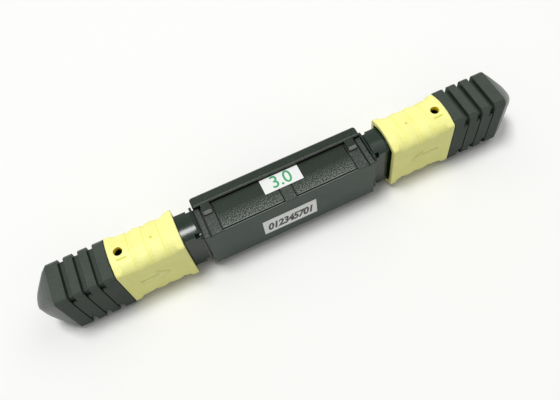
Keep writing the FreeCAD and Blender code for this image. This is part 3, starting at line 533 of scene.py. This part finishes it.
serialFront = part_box("serial_label")[0][1]
serialPrint = {
    "name": "serialPrint", "text": "012345701", "size": 0.0029, "narrow": 0.68, "slant": 0.2, "spacing": 0.94,
    "weight": 0.00012, "thickness": 0.000008, "merge": 0.000005, "turn": (math.pi / 2, 0.0, 0.0),
    "at": (-0.0008, serialFront, 0.0056), "finish": "blackInk", "body": "housing"}
printedText(serialPrint)
print("label prints")

smoothAngle = math.radians(35.0)  # sharper edges than this stay sharp
squareOn = 0.9  # least X of the normal of a face that looks along X


def finishPiece(piece, look):
    selectOnly(piece)
    bpy.ops.object.transform_apply(location=True, rotation=True, scale=True)
    bpy.ops.object.shade_smooth_by_angle(angle=smoothAngle)
    dress(piece, look)


def selectEnd(piece, direction):
    mesh = bmesh.from_edit_mesh(piece.data)
    for face in mesh.faces:
        face.select_set(face.normal.x * direction > squareOn)
    bmesh.update_edit_mesh(piece.data)


def useModifier(piece, kind, **settings):
    modifier = piece.modifiers.new(kind, kind)
    for name, value in settings.items():
        setattr(modifier, name, value)
    selectOnly(piece)
    bpy.ops.object.modifier_apply(modifier=modifier.name)


def raisedArrow(look):
    # a bar whose end face is widened into a head and drawn out to a point
    towards = look["towards"]
    middle = look["tail"] + towards * look["shaft"] / 2
    bpy.ops.object.select_all(action="DESELECT")
    bpy.ops.mesh.primitive_cube_add(size=1.0, location=(middle, look["face"], axisHeight))
    piece = bpy.context.object
    piece.scale = (look["shaft"], look["thickness"], look["shaftHeight"])
    bpy.ops.object.transform_apply(location=True, rotation=True, scale=True)
    bpy.ops.object.mode_set(mode="EDIT")
    bpy.ops.mesh.select_mode(type="FACE")
    selectEnd(piece, towards)
    bpy.ops.mesh.extrude_region_move()
    bpy.ops.transform.resize(value=(1.0, 1.0, look["headHeight"] / look["shaftHeight"]))
    bpy.ops.mesh.extrude_region_move(TRANSFORM_OT_translate={"value": (towards * look["head"], 0.0, 0.0)})
    bpy.ops.transform.resize(value=(1.0, 1.0, look["tip"]))
    bpy.ops.object.mode_set(mode="OBJECT")
    useModifier(piece, "BEVEL", width=look["bevel"], segments=look["bevelSteps"], limit_method="ANGLE")
    finishPiece(piece, look)


for side, sign in plugEnds:
    for place, outward in (("Front", -1), ("Back", 1)):
        arrowLook = {
            "name": side + place + "Arrow", "towards": -sign, "tail": sign * 0.0276,
            "face": outward * 0.00374, "shaft": 0.0032, "shaftHeight": 0.0011, "head": 0.0019,
            "headHeight": 0.0034, "tip": 0.06, "thickness": 0.00012, "bevel": 0.00003, "bevelSteps": 2,
            "finish": "yellowSleeve", "body": side + "_sleeve", "slot": "yellow_plastic"}
        raisedArrow(arrowLook)
print("pull arrows")


def layOnSleeve(piece, look):
    # drops a flat outline on the sleeve's crown, then gives it its thickness
    target = nodes[look["body"].replace("_sleeve", "_coupling_sleeve")]
    useModifier(
        piece, "SHRINKWRAP", target=target, wrap_method="PROJECT", use_project_z=True,
        use_negative_direction=True, use_positive_direction=False, offset=look["proud"])
    useModifier(piece, "SOLIDIFY", thickness=look["thickness"], offset=-1.0)
    finishPiece(piece, look)


def indexBar(look):
    across, deep = look["squares"]
    bpy.ops.object.select_all(action="DESELECT")
    bpy.ops.mesh.primitive_grid_add(x_subdivisions=across, y_subdivisions=deep, size=1.0, location=look["at"])
    piece = bpy.context.object
    piece.scale = (look["length"], look["width"], 1.0)
    bpy.ops.object.transform_apply(location=True, rotation=True, scale=True)
    bpy.ops.object.mode_set(mode="EDIT")
    bpy.ops.mesh.select_all(action="SELECT")
    bpy.ops.mesh.region_to_loop()
    bpy.ops.mesh.bevel(offset=look["round"], segments=look["roundSteps"], affect="VERTICES")
    bpy.ops.object.mode_set(mode="OBJECT")
    layOnSleeve(piece, look)


def gateDot(look):
    bpy.ops.object.select_all(action="DESELECT")
    bpy.ops.mesh.primitive_circle_add(
        vertices=look["points"], radius=look["radius"], fill_type="NGON", location=look["at"])
    piece = bpy.context.object
    bpy.ops.object.mode_set(mode="EDIT")
    bpy.ops.mesh.select_all(action="SELECT")
    bpy.ops.mesh.inset(thickness=look["rim"], depth=0.0)
    bpy.ops.object.mode_set(mode="OBJECT")
    layOnSleeve(piece, look)


aboveSleeve = 0.014  # height from which the marks are dropped on the sleeves
for side, sign in plugEnds:
    barLook = {
        "name": side + "IndexBar", "at": (sign * 0.02825, -0.00135, aboveSleeve), "length": 0.0016,
        "width": 0.00030, "squares": (8, 2), "round": 0.00004, "roundSteps": 2, "proud": 0.00002,
        "thickness": 0.00005, "finish": "yellowMark", "body": side + "_sleeve", "slot": "yellow_plastic"}
    indexBar(barLook)
    dotLook = {
        "name": side + "GateDot", "at": (sign * 0.0229, 0.0, aboveSleeve), "radius": 0.00024, "points": 24,
        "rim": 0.00006, "proud": 0.00003, "thickness": 0.00005, "finish": "yellowMark",
        "body": side + "_sleeve", "slot": "yellow_plastic"}
    gateDot(dotLook)
print("index bars and gate dots")


def fibreEnds(look):
    # one polished fibre end at the foot of the row, copied up along it
    sign = look["sign"]
    lowest = axisHeight - (look["count"] - 1) / 2 * look["pitch"]
    bpy.ops.object.select_all(action="DESELECT")
    bpy.ops.mesh.primitive_cylinder_add(
        vertices=look["points"], radius=look["radius"], depth=look["length"],
        rotation=(0.0, math.pi / 2, 0.0), location=(look["face"] - sign * look["length"] / 2, 0.0, lowest))
    bpy.ops.object.transform_apply(location=True, rotation=True, scale=True)
    ends = [bpy.context.object]
    bpy.ops.object.mode_set(mode="EDIT")
    bpy.ops.mesh.select_mode(type="FACE")
    selectEnd(ends[0], sign)
    bpy.ops.mesh.inset(thickness=look["rim"], depth=look["polish"])
    bpy.ops.object.mode_set(mode="OBJECT")
    while len(ends) < look["count"]:
        selectOnly(ends[-1])
        bpy.ops.object.duplicate()
        bpy.ops.transform.translate(value=(0.0, 0.0, look["pitch"]))
        ends.append(bpy.context.object)
    selectOnly(ends[0])
    for piece in ends:
        piece.select_set(True)
    bpy.ops.object.join()
    finishPiece(bpy.context.object, look)


for side, sign in plugEnds:
    endsLook = {
        "name": side + "FibreEnds", "sign": sign, "face": sign * 0.0362, "count": 12, "pitch": 0.00025,
        "radius": 0.0000625, "points": 10, "length": 0.0003, "rim": 0.00002, "polish": 0.000003,
        "finish": "fibreGlass", "body": side + "_float", "slot": "ferrule_polymer"}
    fibreEnds(endsLook)
print("fibre ends")


def coilSpring(look):
    # round wire along a helix that fills the node's place
    sign = look["sign"]
    spring = bpy.data.curves.new(look["name"], "CURVE")
    spring.dimensions = "3D"
    spring.bevel_depth = look["wire"] - look["clear"]
    spring.bevel_resolution = look["wireSteps"]
    spring.use_fill_caps = True
    count = look["turns"] * look["steps"]
    wire = spring.splines.new("POLY")
    wire.points.add(count)
    length = look["end"] - look["seat"] - 2 * look["wire"]
    for step, point in enumerate(wire.points):
        angle = 2 * math.pi * step / look["steps"]
        along = sign * (look["seat"] + look["wire"] + length * step / count)
        across = sign * look["depth"] * math.cos(angle)
        point.co = (along, across, look["height"] + look["half"] * math.sin(angle), 1.0)
    piece = bpy.data.objects.new(look["name"], spring)
    bpy.context.scene.collection.objects.link(piece)
    selectOnly(piece)
    bpy.ops.object.convert(target="MESH")
    finishPiece(piece, look)
    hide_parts(look["node"])
    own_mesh(piece)


springBase = {
    "turns": 4, "steps": 24, "wireSteps": 2, "clear": 0.000005, "finish": "springSteel", "body": "housing",
    "slot": "spring_steel"}
couplingOffset = 0.0045  # of a small spring above or below the axis
for side, sign in plugEnds:
    mainLook = {
        "name": side + "FerruleSpring", "node": side + "_ferrule_spring", "joint": side + "_ferrule_float",
        "sign": sign, "seat": 0.0172, "end": 0.0267, "depth": 0.0013, "half": 0.00285, "wire": 0.00025,
        "height": axisHeight, "travel": 0.0012}
    coilSpring({**springBase, **mainLook})
    for level, up in (("Upper", 1), ("Lower", -1)):
        couplingLook = {
            "name": side + level + "CouplingSpring", "node": side + "_" + level.lower() + "_coupling_spring",
            "joint": side + "_sleeve_pull", "sign": sign, "seat": 0.02125, "end": 0.02645, "depth": 0.00057,
            "half": 0.00057, "wire": 0.00013, "height": axisHeight + up * couplingOffset, "travel": 0.0022}
        coilSpring({**springBase, **couplingLook})
print("springs")


def seenRays(tree):
    # 1 for what the camera sees, straight or in a reflection
    rays = addNode(tree, "ShaderNodeLightPath").outputs
    seen = calculate(tree, "MAXIMUM", rays["Is Camera Ray"], rays["Is Glossy Ray"])
    return calculate(tree, "MAXIMUM", seen, rays["Is Transmission Ray"])


floorLook = {
    "size": 4.0, "seen": (0.90, 0.90, 0.885), "bounce": (0.68, 0.68, 0.67), "rough": 0.8, "specular": 0.1,
    "far": (1.0, 1.0, 0.99, 1.0), "fade": (0.18, 0.60)}  # glows white where it is far off
bpy.ops.mesh.primitive_plane_add(size=floorLook["size"], location=(0.0, 0.0, 0.0))
floor = bpy.context.object
floor.name = "floor"
floorMaterial, tree, surface = newMaterial("paleFloor")
surface["Roughness"].default_value = floorLook["rough"]
surface["Specular IOR Level"].default_value = floorLook["specular"]
surface["Emission Color"].default_value = floorLook["far"]
seen = seenRays(tree)
distance = addNode(tree, "ShaderNodeVectorMath", operation="LENGTH")
feed(tree, coordinate(tree, "Object"), distance.inputs[0])
fade = mapped(tree, distance.outputs["Value"], *floorLook["fade"], blend="SMOOTHSTEP")
far = scaled(tree, fade, seen)
near = mixColour(tree, seen, floorLook["bounce"], floorLook["seen"])
feed(tree, mixColour(tree, far, near, (0.0, 0.0, 0.0)), surface["Base Color"])
feed(tree, far, surface["Emission Strength"])
floor.data.materials.append(floorMaterial)

worldLook = {
    "ambient": (1.0, 1.0, 1.0, 1.0), "ambientStrength": 0.38,
    "backdrop": (1.0, 1.0, 0.99, 1.0), "backdropStrength": 1.0}
world = bpy.data.worlds.new("studio")
bpy.context.scene.world = world
world.use_nodes = True
tree = world.node_tree
ambient = tree.nodes["Background"]
backdrop = addNode(tree, "ShaderNodeBackground")
for shade, name in ((ambient, "ambient"), (backdrop, "backdrop")):
    shade.inputs["Color"].default_value = worldLook[name]
    shade.inputs["Strength"].default_value = worldLook[name + "Strength"]
choice = addNode(tree, "ShaderNodeMixShader")
feed(tree, seenRays(tree), choice.inputs["Fac"])
feed(tree, ambient.outputs["Background"], choice.inputs[1])
feed(tree, backdrop.outputs["Background"], choice.inputs[2])
feed(tree, choice.outputs["Shader"], tree.nodes["World Output"].inputs["Surface"])

lights = [
    {"name": "keyPanel", "at": (-0.085, 0.072, 0.60), "size": 0.16, "energy": 2.30},
    {"name": "fillPanel", "at": (0.24, 0.06, 0.36), "size": 0.24, "energy": 0.26}]
for look in lights:
    data = bpy.data.lights.new(look["name"], "AREA")
    data.shape = "SQUARE"
    data.size = look["size"]
    data.energy = look["energy"]
    lamp = bpy.data.objects.new(look["name"], data)
    bpy.context.scene.collection.objects.link(lamp)
    aim = Vector((0.0, 0.0, axisHeight)) - Vector(look["at"])
    lamp.matrix_world = Matrix.Translation(look["at"]) @ aim.to_track_quat("-Z", "Y").to_matrix().to_4x4()

cameraLook = {
    "at": (-0.0130334, -0.0479361, 0.0935907), "turn": (28.86498, 5.82627, -24.48743),  # metres and degrees
    "lens": 37.7036, "sensor": 36.0, "near": 0.001}
cameraData = bpy.data.cameras.new("photoCamera")
cameraData.sensor_width = cameraLook["sensor"]
cameraData.lens = cameraLook["lens"]
cameraData.clip_start = cameraLook["near"]
camera = bpy.data.objects.new("photoCamera", cameraData)
camera.location = cameraLook["at"]
camera.rotation_euler = [math.radians(angle) for angle in cameraLook["turn"]]
bpy.context.scene.collection.objects.link(camera)
bpy.context.scene.camera = camera
bpy.context.scene.view_settings.view_transform = "Standard"
print("floor, light and camera")
